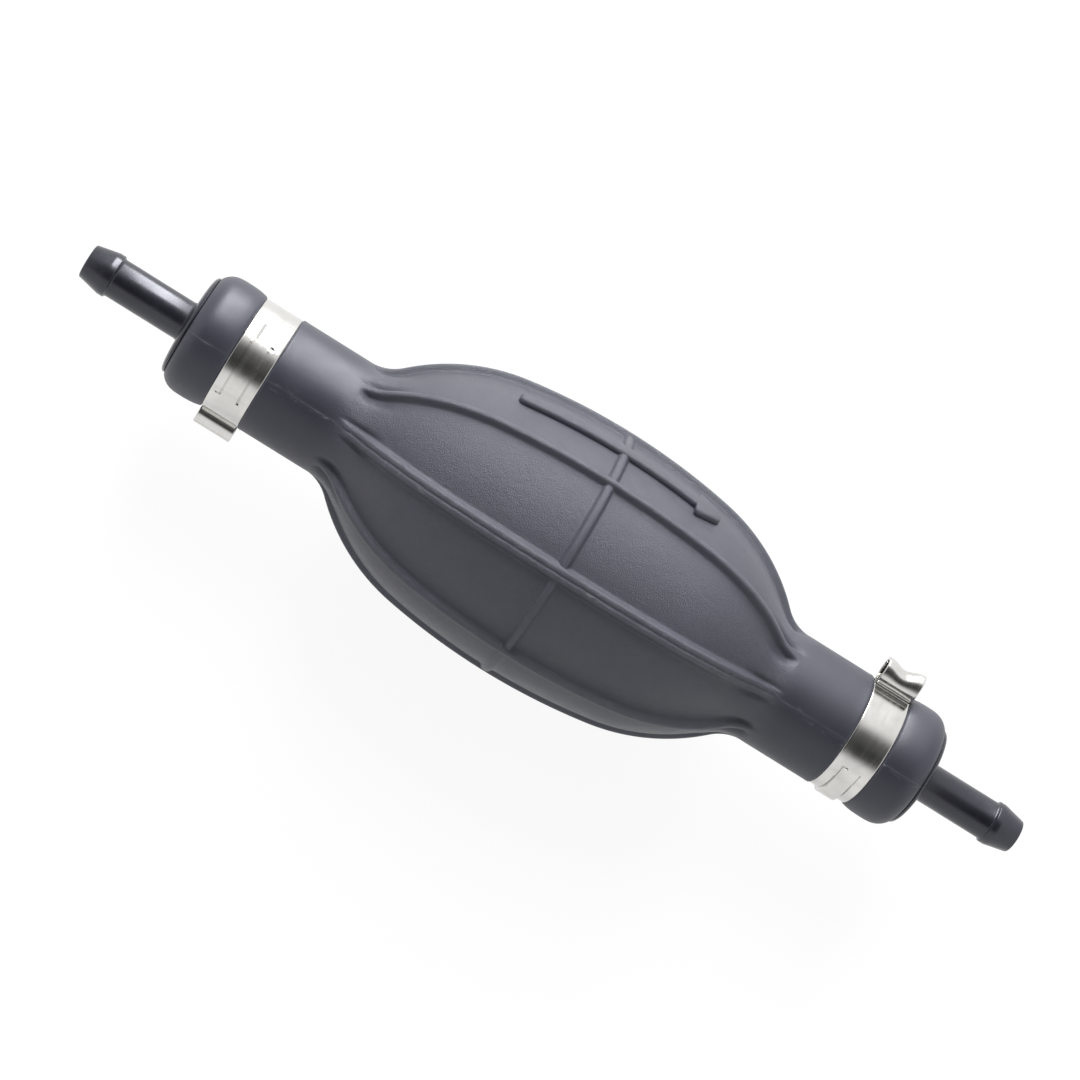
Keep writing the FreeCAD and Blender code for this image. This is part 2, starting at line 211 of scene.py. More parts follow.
def panel_end(offset, ends):
    """The start and the end of a panel's run-out, in millimetres, this far from the rib."""
    beside_rib, mid_panel, change = ends
    share = smooth_step(offset / mm, *change)
    return [near + (far - near) * share for near, far in zip(beside_rib, mid_panel)]


def torn_edge(x):
    """An uneven wave along the seam, where the flash was torn off."""
    wave = math.sin(x / (0.71 * mm)) + math.sin(x / (0.43 * mm) + 1)
    return wave + math.sin(x / (1.9 * mm) + 2)


def shape_bulb(bm, profile, outside_count, row_layer, crest_layer, seam_layer):
    """Moves the spun outline's corners to their columns, and sinks the panels between the ribs."""
    for vert in bm.verts:
        row = vert[row_layer]
        point, out = profile[row]
        column = round(math.degrees(math.atan2(vert.co.y, vert.co.z)) / 360 * COLUMNS) % COLUMNS
        radius = max(point.y, LEAST_SPREAD_R)
        sector, side, offset = column_offset(column, radius)
        x = abs(point.x)
        shift = 0
        if row < outside_count:
            parting = sector % (RIB_COUNT // 2) == 0
            curve = PARTING_RIB if parting else PLAIN_RIB
            rib = read_off(curve, offset / mm)
            crisp = side > 0 and not parting
            start, end = panel_end(offset, CRISP_PANEL_END if crisp else SOFT_PANEL_END)
            window = 1 - smooth_step(x, start * mm, end * mm)
            ring = RING_SHARE * read_off(PLAIN_RIB, abs(point.x - RING_X) / mm)
            point = point - out * PANEL_DEPTH * window * (1 - max(rib, ring))
            if parting:
                torn = torn_edge(point.x)
                near = 1 - smooth_step(offset, *SEAM_REACH)
                shift = near * torn * SEAM_SHIFT
                flash = math.exp(-((offset / FLASH_HALF) ** 2)) * (FLASH_RISE + FLASH_TEAR * torn)
                point = point + out * flash * (1 - window)
                vert[seam_layer] = math.exp(-((offset / SCUFFS_HALF) ** 2))
            # How far up a rib a point lies; the finish uses it to lighten the crests with wear and
            # a painted highlight.
            vert[crest_layer] = rib * (1 - smooth_step(x, 42 * mm, 46 * mm))
        turn = math.degrees((side * offset + shift) / radius)
        angle = math.radians(PARTING_ANGLE + sector * SECTOR + turn)
        vert.co = Vector((point.x, point.y * math.cos(angle), point.y * math.sin(angle)))


def finish_piece(bm, name, material, body):
    """Turns a bmesh into a smooth-shaded piece that rides on a body."""
    mesh = bpy.data.meshes.new(name)
    bm.to_mesh(mesh)
    bm.free()
    mesh.materials.append(material)
    piece = bpy.data.objects.new(name, mesh)
    bpy.context.scene.collection.objects.link(piece)
    for polygon in mesh.polygons:
        polygon.use_smooth = True
    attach(piece, body)
    return piece


def make_bulb(material):
    outside, inside = bulb_profile()
    profile = outside + inside
    bm = bmesh.new()
    row_layer = bm.verts.layers.int.new("row")
    crest_layer = bm.verts.layers.float.new("crest")
    seam_layer = bm.verts.layers.float.new("seam")
    ring = []
    for index, (point, _) in enumerate(profile):
        vert = bm.verts.new((point.x, 0, point.y))
        vert[row_layer] = index
        ring.append(vert)
    for start, end in zip(ring, ring[1:] + ring[:1]):
        bm.edges.new((start, end))
    bmesh.ops.spin(bm, geom=bm.verts[:] + bm.edges[:], cent=(0, 0, 0), axis=(1, 0, 0),
                   angle=2 * math.pi, steps=COLUMNS, use_merge=True)
    shape_bulb(bm, profile, len(outside), row_layer, crest_layer, seam_layer)
    bm.normal_update()
    bmesh.ops.recalc_face_normals(bm, faces=bm.faces[:])
    return finish_piece(bm, "bulb_moulding", material, "pump")


class Finish:
    """A surface finish: a node tree with a Principled shader, built up a node at a time."""

    def __init__(self, name, roughness, metallic=0.0, specular=0.5, tint=(1, 1, 1)):
        self.material = bpy.data.materials.new(name)
        self.material.use_nodes = True
        self.nodes = self.material.node_tree.nodes
        self.links = self.material.node_tree.links
        self.shader = self.nodes["Principled BSDF"]
        self.shader.inputs["Roughness"].default_value = roughness
        self.shader.inputs["Metallic"].default_value = metallic
        self.shader.inputs["Specular IOR Level"].default_value = specular
        self.shader.inputs["Specular Tint"].default_value = (*tint, 1)
        self.place = self.nodes.new("ShaderNodeTexCoord").outputs["Object"]

    def noise(self, scale, detail=4, roughness=0.55, stretch=(1, 1, 1)):
        mapping = self.nodes.new("ShaderNodeMapping")
        mapping.inputs["Scale"].default_value = stretch
        texture = self.nodes.new("ShaderNodeTexNoise")
        texture.inputs["Scale"].default_value = scale
        texture.inputs["Detail"].default_value = detail
        texture.inputs["Roughness"].default_value = roughness
        self.links.new(self.place, mapping.inputs["Vector"])
        self.links.new(mapping.outputs["Vector"], texture.inputs["Vector"])
        return texture.outputs["Fac"]

    def between(self, value, low, high, out_low=0.0, out_high=1.0):
        node = self.nodes.new("ShaderNodeMapRange")
        node.interpolation_type = "SMOOTHSTEP"
        node.inputs["From Min"].default_value = low
        node.inputs["From Max"].default_value = high
        node.inputs["To Min"].default_value = out_low
        node.inputs["To Max"].default_value = out_high
        self.links.new(value, node.inputs["Value"])
        return node.outputs["Result"]

    def join(self, first, second, operation="ADD"):
        node = self.nodes.new("ShaderNodeMath")
        node.operation = operation
        for socket, value in zip(node.inputs, (first, second)):
            if isinstance(value, (int, float)):
                socket.default_value = value
            else:
                self.links.new(value, socket)
        return node.outputs["Value"]

    def blend(self, factor, first, second):
        node = self.nodes.new("ShaderNodeMix")
        node.data_type = "RGBA"
        self.links.new(factor, node.inputs["Factor"])
        for name, value in (("A", first), ("B", second)):
            socket = [s for s in node.inputs if s.name == name and s.type == "RGBA"][0]
            if isinstance(value, tuple):
                socket.default_value = (*value, 1)
            else:
                self.links.new(value, socket)
        return [s for s in node.outputs if s.type == "RGBA"][0]

    def colour(self, value):
        self.links.new(value, self.shader.inputs["Base Color"])

    def roughness(self, value):
        self.links.new(value, self.shader.inputs["Roughness"])

    def bump(self, height, distance, strength=1.0):
        node = self.nodes.new("ShaderNodeBump")
        node.inputs["Distance"].default_value = distance
        node.inputs["Strength"].default_value = strength
        self.links.new(height, node.inputs["Height"])
        self.links.new(node.outputs["Normal"], self.shader.inputs["Normal"])

    def distance_along(self):
        """How far a point lies from the pump's middle, along the pump."""
        parts = self.nodes.new("ShaderNodeSeparateXYZ")
        self.links.new(self.place, parts.inputs["Vector"])
        return self.join(parts.outputs["X"], 0, "ABSOLUTE")

    def attribute(self, name):
        node = self.nodes.new("ShaderNodeAttribute")
        node.attribute_name = name
        return node.outputs["Fac"]


def bulb_rubber():
    rubber = Finish("bulb_rubber", 0.4, specular=0.75, tint=(0.9, 0.92, 1))
    clouds = rubber.between(rubber.noise(42, 5, 0.6), 0.3, 0.7)
    base = rubber.blend(clouds, (0.080, 0.082, 0.106), (0.096, 0.098, 0.128))
    tinge = rubber.between(rubber.noise(27, 3, 0.5, stretch=(1, 1.3, 0.8)), 0.45, 0.72)
    base = rubber.blend(rubber.join(tinge, 0.45, "MULTIPLY"), base, (0.084, 0.093, 0.102))
    dust = rubber.between(rubber.noise(620, 5, 0.7), 0.66, 0.8)
    base = rubber.blend(rubber.join(dust, 0.3, "MULTIPLY"), base, (0.2, 0.205, 0.23))
    # Rib crests are coloured lighter: partly rubbed wear, partly a painted highlight where the
    # light catches them.
    crest = rubber.attribute("crest")
    rubbed_and_highlit_patches = rubber.between(rubber.noise(330, 4, 0.6), 0.35, 0.7)
    worn_and_highlit_crests = rubber.join(rubber.between(crest, 0.75, 1), rubbed_and_highlit_patches, "MULTIPLY")
    base = rubber.blend(rubber.join(worn_and_highlit_crests, 0.4, "MULTIPLY"), base, (0.15, 0.155, 0.185))
    scuffs = rubber.between(rubber.noise(1300, 4, 0.7, stretch=(0.3, 1, 1)), 0.58, 0.7)
    scuffs = rubber.join(scuffs, rubber.attribute("seam"), "MULTIPLY")
    necks = rubber.between(rubber.distance_along(), 40 * mm, 48 * mm)
    base = rubber.blend(rubber.join(necks, 0.75, "MULTIPLY"), base, (0.035, 0.036, 0.052))
    base = rubber.blend(rubber.join(scuffs, 0.75, "MULTIPLY"), base, (0.27, 0.27, 0.31))
    rubber.colour(base)
    satin = rubber.between(rubber.noise(160, 5, 0.6), 0.3, 0.75, 0.29, 0.38)
    rubber.roughness(rubber.join(satin, rubber.join(necks, 0.1, "MULTIPLY")))
    coarse = rubber.join(rubber.noise(900, 3, 0.5), 0.45, "MULTIPLY")
    grain = rubber.join(rubber.noise(4600, 3, 0.7), coarse)
    panels = rubber.between(necks, 0, 1, 1, 0.12)
    rubber.bump(rubber.join(grain, panels, "MULTIPLY"), 0.16 * mm)
    return rubber.material


rubber_material = bulb_rubber()
bulb = make_bulb(rubber_material)
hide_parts("rubber_bulb")


# Flow arrow: a raised bar and head on the panel between two ribs, moulded with the bulb.
# It points along the flow over the ring, with a round tail, steep sides and a blunt head.
ARROW_ANGLE = 45
ARROW_BASE = -0.25 * mm
ARROW_RISE = 1.35 * mm
ARROW_SHAFT_HALF = 1.45
# Stations along the arrow: x and half width in millimetres, and the share of the full height there.
ARROW_TAIL = [(-20.5, 0.01, 0), (-20.48, 0.4, 0.5), (-20.38, 0.72, 0.78), (-20.15, 1.02, 0.91),
              (-19.8, 1.28, 0.97), (-19.3, 1.42, 1), (-18.7, ARROW_SHAFT_HALF, 1)]
ARROW_SHAFT = [(-17.5 + 1.27 * i, ARROW_SHAFT_HALF, 1) for i in range(26)]
ARROW_SHAFT += [(14.5, ARROW_SHAFT_HALF, 1)]
ARROW_HEAD = [(14.64, 2.8, 1), (14.76, 3.05, 1), (15.05, 3.2, 1), (15.4, 3.15, 1), (16.5, 2.67, 1),
              (17.6, 2.19, 1), (18.7, 1.7, 1), (19.15, 1.38, 0.97), (19.4, 1.05, 0.88),
              (19.54, 0.7, 0.7), (19.59, 0.4, 0.45), (19.6, 0.01, 0)]
# The edge's rounding: how far in from the side, and the share of the height there.
ARROW_EDGE = [(0, 0), (0.03, 0.52), (0.11, 0.76), (0.28, 0.9), (0.55, 0.97), (0.95, 1)]
# The corners of the first and last station lie closer together than this, and are merged.
ARROW_MERGE = 0.022 * mm


def make_arrow():
    """A closed loft: a ring of corners carried from station to station and laid on the panel."""
    stations = ARROW_TAIL + ARROW_SHAFT + ARROW_HEAD
    across_count = 2 * len(ARROW_EDGE) + 1
    bm = bmesh.new()
    row_layer = bm.verts.layers.int.new("row")
    place_layer = bm.verts.layers.int.new("place")
    ring = []
    for place in range(across_count):
        vert = bm.verts.new((0, place, 0))
        vert[place_layer] = place
        ring.append(vert)
    front = [bm.edges.new(pair) for pair in zip(ring, ring[1:] + ring[:1])]
    for row in range(1, len(stations)):
        made = bmesh.ops.extrude_edge_only(bm, edges=front)["geom"]
        front = [g for g in made if isinstance(g, bmesh.types.BMEdge)]
        for vert in [g for g in made if isinstance(g, bmesh.types.BMVert)]:
            vert[row_layer] = row
            vert[place_layer] = round(vert.co.y)
    for vert in bm.verts:
        x, half, share = stations[vert[row_layer]]
        place = vert[place_layer] - len(ARROW_EDGE)
        inset, height = ARROW_EDGE[len(ARROW_EDGE) - abs(place)] if place else (half, 1)
        inset = min(inset * min(half / ARROW_SHAFT_HALF, 1), half)
        y = math.copysign(half - inset, place) * mm
        point, _ = bulb_outline(x * mm)
        radius = point.y - PANEL_DEPTH + ARROW_BASE + ARROW_RISE * height * share
        angle = math.radians(ARROW_ANGLE) - y / radius
        vert.co = Vector((x * mm, radius * math.cos(angle), radius * math.sin(angle)))
    bmesh.ops.remove_doubles(bm, verts=bm.verts[:], dist=ARROW_MERGE)
    bm.normal_update()
    bmesh.ops.recalc_face_normals(bm, faces=bm.faces[:])
    if bm.calc_volume(signed=True) < 0:
        bmesh.ops.reverse_faces(bm, faces=bm.faces[:])
    return finish_piece(bm, "flow_arrow", rubber_material, "pump")


make_arrow()


# Hose fittings: two equal black plastic mouldings, each a hollow plug, flange, tube and barb.
# The plug is pushed into the neck up to the flange, and the band outside grips the rubber onto it.
FLANGE_DOME = [(74, 9.1), (74.06, 9.3), (74.18, 9.38), (74.4, 9.34), (74.58, 9.2), (74.73, 8.98),
               (74.86, 8.65), (74.97, 8.1), (75.07, 7.2), (75.13, 6), (75.16, 4.6), (75.22, 4.05),
               (75.38, 3.72), (75.7, 3.6)]
FITTING_STEPS = 128
PLUG_BORE_R = 6.6 * mm
SHOULDER_X = 73.7 * mm
TUBE_R = 3.6 * mm
TUBE_BORE_R = 2.4 * mm
BARB_R = 4 * mm
BARB_BACK_X = 89.6 * mm
BARB_LAND = 1.4 * mm
BARB_TIP_R = 3.1 * mm
TIP_X = 95 * mm


def round_corner(x, r, size, start, end, steps=4):
    """Points on a quarter turn about (x, r), from one angle to another."""
    points = []
    for i in range(steps + 1):
        turn = math.radians(start + (end - start) * i / steps)
        points.append((x + size * math.cos(turn), r + size * math.sin(turn)))
    return points


def fitting_profile():
    """The outline of a fitting's section: plug, flange, tube and barb, then back along the bore."""
    land_end = BARB_BACK_X + BARB_LAND
    profile = [(PLUG_MOUTH_X, PLUG_R), (LIP_END_X, PLUG_R)]
    profile += [(x * mm, r * mm) for x, r in FLANGE_DOME]
    profile += [(BARB_BACK_X - 0.3 * mm, TUBE_R)]
    profile += [(BARB_BACK_X - 0.08 * mm, TUBE_R + 0.07 * mm)]
    profile += round_corner(BARB_BACK_X + 0.25 * mm, BARB_R - 0.2 * mm, 0.2 * mm, 180, 90)
    profile += [(land_end - 0.25 * mm, BARB_R), (land_end, BARB_R - 0.03 * mm)]
    profile += [(land_end + 0.3 * mm, BARB_R - 0.1 * mm)]
    profile += round_corner(TIP_X - 0.35 * mm, BARB_TIP_R - 0.3 * mm, 0.35 * mm, 75, 0)
    profile += [(TIP_X, TUBE_BORE_R + 0.12 * mm), (TIP_X - 0.12 * mm, TUBE_BORE_R)]
    profile += [(SHOULDER_X, TUBE_BORE_R), (SHOULDER_X, PLUG_BORE_R), (PLUG_MOUTH_X, PLUG_BORE_R)]
    return profile


def sharpen(piece, degrees):
    """Edges that turn more than this stay crisp."""
    piece.data.set_sharp_from_angle(angle=math.radians(degrees))


def make_fitting(name, side, material):
    bm = bmesh.new()
    ring = [bm.verts.new((x, 0, r)) for x, r in fitting_profile()]
    for start, end in zip(ring, ring[1:] + ring[:1]):
        bm.edges.new((start, end))
    bmesh.ops.spin(bm, geom=bm.verts[:] + bm.edges[:], cent=(0, 0, 0), axis=(1, 0, 0),
                   angle=2 * math.pi, steps=FITTING_STEPS, use_merge=True)
    if side < 0:
        bmesh.ops.scale(bm, vec=(-1, 1, 1), verts=bm.verts[:])
    bmesh.ops.remove_doubles(bm, verts=bm.verts[:], dist=0.001 * mm)
    bmesh.ops.recalc_face_normals(bm, faces=bm.faces[:])
    piece = finish_piece(bm, name, material, "pump")
    sharpen(piece, 35)
    return piece


def fitting_plastic():
    plastic = Finish("fitting_plastic", 0.25, specular=0.85, tint=(0.88, 0.9, 1))
    tint = plastic.between(plastic.noise(90, 3), 0.35, 0.65)
    plastic.colour(plastic.blend(tint, (0.016, 0.0155, 0.024), (0.024, 0.0235, 0.035)))
    plastic.roughness(plastic.between(plastic.noise(350, 4, 0.6), 0.3, 0.7, 0.2, 0.3))
    plastic.bump(plastic.noise(300, 3, 0.5), 0.02 * mm, 0.6)
    return plastic.material


plastic_material = fitting_plastic()
for end, side in (("inlet", -1), ("outlet", 1)):
    fitting = make_fitting(end + "_hose_fitting", side, plastic_material)
    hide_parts(end + "_barb_fitting")


# Ear clamps: each a strip of bright stainless steel round a neck, with an ear pinched to tighten.
# Two cut lines free a tongue in the strip's middle, which rides up over the strip's other end.
STRIP = 0.6 * mm
BAND_STEPS = 360
MM_PER_DEGREE = 0.19
CUT_DEPTH = 0.3 * mm
TICK_HALF_DEGREES = 0.55
TONGUE_RISE = 0.68 * mm
TONGUE_FALL_DEGREES = (55, 60)
DOT_DEPTH = 0.2 * mm
DOT_EDGE = (0.08, 0.34)
EMBOSS_DEPTH = 0.14 * mm
EMBOSS_HALF = (0.95, 1.4)
EMBOSS_EDGE = (0.18, 0.46)
# In millimetres across a cut line: its floor, its edges, its reach, and what stays free about it.
CUT_FLOOR_HALF = 0.06
CUT_EDGE_HALF = 0.17
CUT_REACH = 0.07
CUT_CLEAR_HALF = 0.24
EAR_HALF = 2.25 * mm
EAR_PINCH_HALF = 1.0 * mm
EAR_BEND = 0.5 * mm
EAR_LOOP_START_DEGREES = -58
EAR_LOOP_POWER = 0.86
EAR_DENT_REACH = 0.9
EAR_DENT_BULGE = 0.06
# Angles are in degrees from +Y towards +Z, x is in metres and the rest in millimetres. ear_top is
# the ear's height over the axis at its left and right side. cuts, ticks, emboss and dots are given
# by their distance from the strip's middle.
CLAMPS = {
    "inlet": {
        "x": -BAND_X, "ear_angle": 220, "ear_top": (15.0, 15.0), "dimple": 0.0,
        "cuts": (-1.75, 1.6), "cut_angles": (90, 149.5),
        "ticks": ((-1.75, -2.75), (1.6, 1.9)), "tick_angle": 149,
        "rise": (230, 262), "emboss": (-0.1, 75.5), "dots": ((1.8, 86), (1.85, 149)),
    },
    "outlet": {
        "x": BAND_X, "ear_angle": 33, "ear_top": (15.85, 16.25), "dimple": 0.95,
        "cuts": (-1.7, 1.7), "cut_angles": (135, 232),
        "ticks": ((-1.7, -0.75), (1.7, 1.85)), "tick_angle": 135,
        "rise": (142, 182), "emboss": None, "dots": (),
    },
}


def band_columns(clamp):
    """Places across the strip's outer face, with columns of their own at the cut lines."""
    reach = BAND_WIDTH / mm / 2 * 0.94
    count = 24
    stops = [-reach + 2 * reach * i / count for i in range(count + 1)]
    cuts = clamp["cuts"]
    stops = [s for s in stops if min(abs(s - cut) for cut in cuts) > CUT_CLEAR_HALF]
    for cut in cuts:
        for away in (CUT_FLOOR_HALF, CUT_EDGE_HALF):
            stops += [cut - away, cut + away]
    return [s * mm for s in sorted(stops)]


def band_height(clamp, x, angle):
    """How far the strip's outer face stands off its plain level, at a place across and round it."""
    low, high = clamp["cuts"]
    start, end = clamp["cut_angles"]
    rise = 0.0
    if low <= x / mm <= high:
        climb = smooth_step(angle, *clamp["rise"])
        fall_start, fall_end = (clamp["rise"][1] + degrees for degrees in TONGUE_FALL_DEGREES)
        rise += TONGUE_RISE * climb * (1 - smooth_step(angle, fall_start, fall_end))
    cut = 0.0
    if start <= angle <= end and min(abs(x / mm - low), abs(x / mm - high)) < CUT_REACH:
        cut = CUT_DEPTH
    for from_x, to_x in clamp["ticks"]:
        reach = min(from_x, to_x) - CUT_REACH <= x / mm <= max(from_x, to_x) + CUT_REACH
        if reach and abs(angle - clamp["tick_angle"]) < TICK_HALF_DEGREES:
            cut = CUT_DEPTH
    for dot_x, dot_angle in clamp["dots"]:
        away = math.hypot(x / mm - dot_x, (angle - dot_angle) * MM_PER_DEGREE)
        cut = max(cut, DOT_DEPTH * (1 - smooth_step(away, *DOT_EDGE)))
    if clamp["emboss"]:
        middle_x, middle_angle = clamp["emboss"]
        across_edge = max(abs(x / mm - middle_x) - EMBOSS_HALF[0], 0)
        round_edge = max(abs(angle - middle_angle) * MM_PER_DEGREE - EMBOSS_HALF[1], 0)
        rise -= EMBOSS_DEPTH * (1 - smooth_step(math.hypot(across_edge, round_edge), *EMBOSS_EDGE))
    return rise - cut


def make_band(name, clamp, material):
    """The closed strip: a spun section with rounded edges, cut lines and the tongue's rise."""
    half = BAND_WIDTH / 2
    outer = BAND_INNER_R + STRIP
    bm = bmesh.new()
    top = [(x, outer) for x in band_columns(clamp)]
    edge_right = [(half - 0.1 * mm, outer - 0.03 * mm), (half, outer - 0.13 * mm)]
    edge_right += [(half, BAND_INNER_R + 0.1 * mm), (half - 0.1 * mm, BAND_INNER_R)]
    edge_left = [(-x, r) for x, r in reversed(edge_right)]
    ring = [bm.verts.new((x, 0, r)) for x, r in top + edge_right + edge_left]
    for start, end in zip(ring, ring[1:] + ring[:1]):
        bm.edges.new((start, end))
    bmesh.ops.spin(bm, geom=bm.verts[:] + bm.edges[:], cent=(0, 0, 0), axis=(1, 0, 0),
                   angle=2 * math.pi, steps=BAND_STEPS, use_merge=True)
    for vert in bm.verts:
        angle = math.degrees(math.atan2(vert.co.z, vert.co.y)) % 360
        radius = math.hypot(vert.co.y, vert.co.z)
        if radius > outer - 0.01 * mm:
            grow = 1 + band_height(clamp, vert.co.x, angle) / radius
            vert.co.y *= grow
            vert.co.z *= grow
    bmesh.ops.translate(bm, vec=(clamp["x"], 0, 0), verts=bm.verts[:])
    bmesh.ops.recalc_face_normals(bm, faces=bm.faces[:])
    piece = finish_piece(bm, name, material, "pump")
    sharpen(piece, 38)
    return piece


def ear_path(top):
    """Half of the ear's middle line, from the strip to the top, as points across and up."""
    middle = BAND_INNER_R + STRIP / 2
    foot = EAR_PINCH_HALF + EAR_BEND
    points = []
    for back in (3, 2, 1, 0):
        out = foot + back * 0.4 * mm
        points.append((out, math.sqrt(middle**2 - out**2) - back * 0.05 * mm))
    start_z = points[-1][1]
    for i in range(1, 6):
        turn = math.pi / 2 * i / 5
        points.append((foot - EAR_BEND * math.sin(turn), start_z + EAR_BEND * (1 - math.cos(turn))))
    loop_half = EAR_HALF - STRIP / 2
    loop_top = top - STRIP / 2
    loop_bottom = start_z + EAR_BEND + 0.25 * mm
    centre = (loop_top + loop_bottom) / 2
    high = (loop_top - loop_bottom) / 2
    start = math.radians(EAR_LOOP_START_DEGREES)
    for i in range(19):
        turn = start + (math.pi / 2 - start) * i / 18
        out = math.copysign(abs(math.cos(turn)) ** EAR_LOOP_POWER, math.cos(turn))
        rise = math.copysign(abs(math.sin(turn)) ** EAR_LOOP_POWER, math.sin(turn))
        points.append((loop_half * out, centre + high * rise))
    return points


def make_ear(name, clamp, material):
    """The strip raised into a pinched loop, open at both sides and dented by the dimple's depth."""
    half = BAND_WIDTH / 2
    left_top, right_top = (top * mm for top in clamp["ear_top"])
    right = ear_path(left_top)
    path = right + [(-y, z) for y, z in reversed(right[:-1])]
    bm = bmesh.new()
    line = [bm.verts.new((-half, y, z)) for y, z in path]
    front = [bm.edges.new(pair) for pair in zip(line, line[1:])]
    steps = 24
    for i in range(steps):
        made = bmesh.ops.extrude_edge_only(bm, edges=front)["geom"]
        verts = [g for g in made if isinstance(g, bmesh.types.BMVert)]
        front = [g for g in made if isinstance(g, bmesh.types.BMEdge)]
        bmesh.ops.translate(bm, vec=(BAND_WIDTH / steps, 0, 0), verts=verts)
    low = BAND_INNER_R + 1.6 * mm
    for vert in bm.verts:
        up = max(vert.co.z - low, 0) / (left_top - low)
        place = (vert.co.x / half + 1) / 2
        dent = math.cos(math.pi / 2 * min(abs(vert.co.x) / (half * EAR_DENT_REACH), 1)) ** 2
        vert.co.z += up * ((right_top - left_top) * place - clamp["dimple"] * mm * dent)
        vert.co.y *= 1 + EAR_DENT_BULGE * dent * up * (1 if clamp["dimple"] else 0)
    bmesh.ops.recalc_face_normals(bm, faces=bm.faces[:])
    bmesh.ops.translate(bm, vec=(clamp["x"], 0, 0), verts=bm.verts[:])
    bmesh.ops.rotate(bm, cent=(0, 0, 0), verts=bm.verts[:],
                     matrix=Matrix.Rotation(math.radians(clamp["ear_angle"] - 90), 3, "X"))
    piece = finish_piece(bm, name, material, "pump")
    wall = piece.modifiers.new("strip", "SOLIDIFY")
    wall.thickness = STRIP
    wall.offset = 0
    rounding = piece.modifiers.new("rolled_edges", "BEVEL")
    rounding.width = 0.12 * mm
    rounding.segments = 2
    rounding.limit_method = "ANGLE"
    rounding.angle_limit = math.radians(50)
    return piece


def clamp_steel():
    steel = Finish("clamp_steel", 0.16, metallic=1.0)
    tint = steel.between(steel.noise(220, 4), 0.35, 0.7)
    steel.colour(steel.blend(tint, (0.78, 0.77, 0.745), (0.69, 0.68, 0.66)))
    streaks = steel.noise(900, 4, 0.6, stretch=(1, 0.12, 0.12))
    steel.roughness(steel.between(streaks, 0.3, 0.75, 0.11, 0.25))
    steel.bump(steel.noise(180, 3, 0.5), 0.04 * mm, 0.6)
    return steel.material


steel_material = clamp_steel()
for end, clamp in CLAMPS.items():
    band = make_band(end + "_clamp_band", clamp, steel_material)
    ear = make_ear(end + "_clamp_ear", clamp, steel_material)
    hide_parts(end + "_ear_clamp")
    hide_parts(end + "_ear_clamp")


# Check valves: one in each fitting, both opening along the flow. Seat and cage are white acetal,
# the poppet is black and carries a nitrile ring, and a fine spring holds it shut.
# The rigid pieces are the frame's own, and only their finish is added here.
def moulded(name, dark, light, low, high):
    finish = Finish(name, low)
    tint = finish.between(finish.noise(400, 4), 0.3, 0.7)
    finish.colour(finish.blend(tint, dark, light))
    finish.roughness(finish.between(finish.noise(900, 3), 0.3, 0.7, low, high))
    finish.bump(finish.noise(1500, 2), 0.02 * mm, 0.4)
    return finish.material


VALVE_FINISHES = {
    "valve_seat": moulded("valve_acetal", (0.72, 0.71, 0.67), (0.82, 0.81, 0.77), 0.35, 0.5),
    "valve_poppet": moulded("poppet_acetal", (0.06, 0.06, 0.065), (0.1, 0.1, 0.11), 0.3, 0.45),
    "poppet_seal": moulded("seal_nitrile", (0.018, 0.018, 0.018), (0.035, 0.035, 0.035), 0.5, 0.65),
}
VALVE_FINISHES["valve_cage"] = VALVE_FINISHES["valve_seat"]
for end in ("inlet", "outlet"):
    for piece_name, material in VALVE_FINISHES.items():
        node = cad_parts[end + "_" + piece_name]
        node.data.materials.clear()
        node.data.materials.append(material)


# Valve springs: four turns of fine stainless wire between the poppet's disc and the cage's hub.
# In the real pump each closes up towards the hub as its valve opens; the coil made here keeps one
# length.
SPRING_R = 2.15 * mm
SPRING_WIRE_R = 0.22 * mm
SPRING_TURNS = 4
SPRING_TURN_STEPS = 36


def make_spring(end, material):
    low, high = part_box(end + "_valve_spring")
    start = low.x + SPRING_WIRE_R
    length = high.x - low.x - 2 * SPRING_WIRE_R
    steps = SPRING_TURNS * SPRING_TURN_STEPS
    bm = bmesh.new()
    bmesh.ops.create_circle(bm, cap_ends=False, radius=SPRING_WIRE_R, segments=10,
                            matrix=Matrix.Translation((start, SPRING_R, 0)))
    bmesh.ops.spin(bm, geom=bm.verts[:] + bm.edges[:], cent=(0, 0, 0), axis=(1, 0, 0),
                   dvec=(length / steps, 0, 0), angle=2 * math.pi * SPRING_TURNS, steps=steps)
    bmesh.ops.holes_fill(bm, edges=[e for e in bm.edges if e.is_boundary])
    bmesh.ops.recalc_face_normals(bm, faces=bm.faces[:])
    piece = finish_piece(bm, end + "_spring_coil", material, "pump")
    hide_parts(end + "_valve_spring")
    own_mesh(piece)
    return piece


def spring_steel():
    steel = Finish("spring_steel", 0.25, metallic=1.0)
    tint = steel.between(steel.noise(500, 3), 0.3, 0.7)
    steel.colour(steel.blend(tint, (0.55, 0.54, 0.52), (0.7, 0.69, 0.67)))
    steel.roughness(steel.between(steel.noise(1800, 3), 0.3, 0.7, 0.18, 0.32))
    return steel.material


spring_material = spring_steel()
for end in ("inlet", "outlet"):
    make_spring(end, spring_material)


